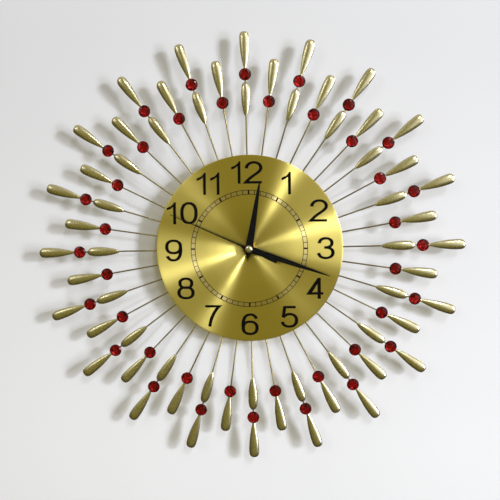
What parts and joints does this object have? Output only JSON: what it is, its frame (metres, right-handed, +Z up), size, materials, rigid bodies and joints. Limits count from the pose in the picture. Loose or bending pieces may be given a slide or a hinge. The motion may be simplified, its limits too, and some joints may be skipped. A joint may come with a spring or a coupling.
{
  "type": "sunburst wall clock",
  "caption": "Round wall clock: brushed gold dial inside a burst of leaf and stone rays, with a quartz movement turning three black hands.",
  "frame": {"origin": "middle of the movement cover's back face, on the wall and on the axis of the hands", "axes": "+Z up towards twelve, -Y out of the wall towards the viewer, +X to the viewer's right"},
  "size_m": [0.6, 0.0337, 0.6],
  "materials": {
    "ray_gold": "pale gold plating over cast and drawn metal, softly polished",
    "brushed_gold": "gold aluminium, spun so that fine circles catch the light, lacquered",
    "ruby_stone": "faceted dark red glass stone with a polished face",
    "dial_print": "black printed numerals and minute track",
    "black_hand": "black satin paint on thin pressed metal",
    "cap_metal": "small polished domed cap with a pale gold tint",
    "hub_steel": "pressed steel plate, sprayed dull gold on the back",
    "brass": "turned brass",
    "case_plastic": "black moulded plastic, finely textured",
    "knob_plastic": "black moulded plastic, smooth",
    "gear_plastic": "natural moulded gear plastic",
    "stator_iron": "stamped soft iron sheet",
    "circuit_board": "green lacquered board with a copper coil",
    "cell_wrap": "plain printed sleeve on a dry cell, with steel ends"
  },
  "bodies": {
    "root": {"ray_long_01": "ray_gold", "ray_long_02": "ray_gold", "ray_long_03": "ray_gold", "ray_long_04": "ray_gold", "ray_long_05": "ray_gold", "ray_long_06": "ray_gold", "ray_long_07": "ray_gold", "ray_long_08": "ray_gold", "ray_long_09": "ray_gold", "ray_long_10": "ray_gold", "ray_long_11": "ray_gold", "ray_long_12": "ray_gold", "ray_long_13": "ray_gold", "ray_long_14": "ray_gold", "ray_long_15": "ray_gold", "ray_long_16": "ray_gold", "ray_long_17": "ray_gold", "ray_long_18": "ray_gold", "ray_long_19": "ray_gold", "ray_long_20": "ray_gold", "ray_short_01": "ray_gold", "ray_short_02": "ray_gold", "ray_short_03": "ray_gold", "ray_short_04": "ray_gold", "ray_short_05": "ray_gold", "ray_short_06": "ray_gold", "ray_short_07": "ray_gold", "ray_short_08": "ray_gold", "ray_short_09": "ray_gold", "ray_short_10": "ray_gold", "ray_short_11": "ray_gold", "ray_short_12": "ray_gold", "ray_short_13": "ray_gold", "ray_short_14": "ray_gold", "ray_short_15": "ray_gold", "ray_short_16": "ray_gold", "ray_short_17": "ray_gold", "ray_short_18": "ray_gold", "ray_short_19": "ray_gold", "ray_short_20": "ray_gold", "dial": "brushed_gold", "hub_plate": "hub_steel", "bush_nut": "brass", "movement_case": "case_plastic", "movement_cover": "case_plastic", "battery": "cell_wrap", "circuit_board": "circuit_board", "stator": "stator_iron"},
    "second_train": {"second_hand": "black_hand", "seconds_wheel": "gear_plastic"},
    "intermediate": {"intermediate_wheel": "gear_plastic"},
    "rotor": {"rotor": "gear_plastic"},
    "third": {"third_wheel": "gear_plastic"},
    "centre": {"centre_wheel": "gear_plastic"},
    "minute_train": {"minute_hand": "black_hand", "cannon_pinion": "brass"},
    "motion": {"motion_wheel": "gear_plastic"},
    "hour_train": {"hour_hand": "black_hand", "hour_wheel": "gear_plastic"},
    "knob": {"setting_knob": "knob_plastic"}
  },
  "joints": [
    {"name": "second_turn", "type": "hinge", "parent": "root", "child": "second_train", "pos_m": [0, 0, 0], "axis": [0, 1, 0], "continuous": true},
    {"name": "intermediate_turn", "type": "hinge", "parent": "root", "child": "intermediate", "pos_m": [-0.0042, 0, 0.00727], "axis": [0, 1, 0], "continuous": true},
    {"name": "rotor_turn", "type": "hinge", "parent": "root", "child": "rotor", "pos_m": [-0.01044, 0, 0.01087], "axis": [0, 1, 0], "continuous": true},
    {"name": "third_turn", "type": "hinge", "parent": "root", "child": "third", "pos_m": [0.0108, 0, 0], "axis": [0, 1, 0], "continuous": true},
    {"name": "centre_turn", "type": "hinge", "parent": "root", "child": "centre", "pos_m": [0, 0, 0], "axis": [0, 1, 0], "continuous": true},
    {"name": "minute_turn", "type": "hinge", "parent": "root", "child": "minute_train", "pos_m": [0, 0, 0], "axis": [0, 1, 0], "continuous": true},
    {"name": "motion_turn", "type": "hinge", "parent": "root", "child": "motion", "pos_m": [-0.0084, 0, 0], "axis": [0, 1, 0], "continuous": true},
    {"name": "hour_turn", "type": "hinge", "parent": "root", "child": "hour_train", "pos_m": [0, 0, 0], "axis": [0, 1, 0], "continuous": true},
    {"name": "knob_turn", "type": "hinge", "parent": "root", "child": "knob", "pos_m": [-0.0168, 0, 0], "axis": [0, 1, 0], "continuous": true}
  ],
  "couplings": [
    {"joint": "intermediate_turn", "follows": "second_turn", "ratio": -6},
    {"joint": "rotor_turn", "follows": "second_turn", "ratio": 30},
    {"joint": "third_turn", "follows": "second_turn", "ratio": -0.125},
    {"joint": "centre_turn", "follows": "second_turn", "ratio": 0.016667},
    {"joint": "motion_turn", "follows": "minute_turn", "ratio": -0.33333},
    {"joint": "hour_turn", "follows": "minute_turn", "ratio": 0.083333},
    {"joint": "knob_turn", "follows": "minute_turn", "ratio": 1}
  ]
}
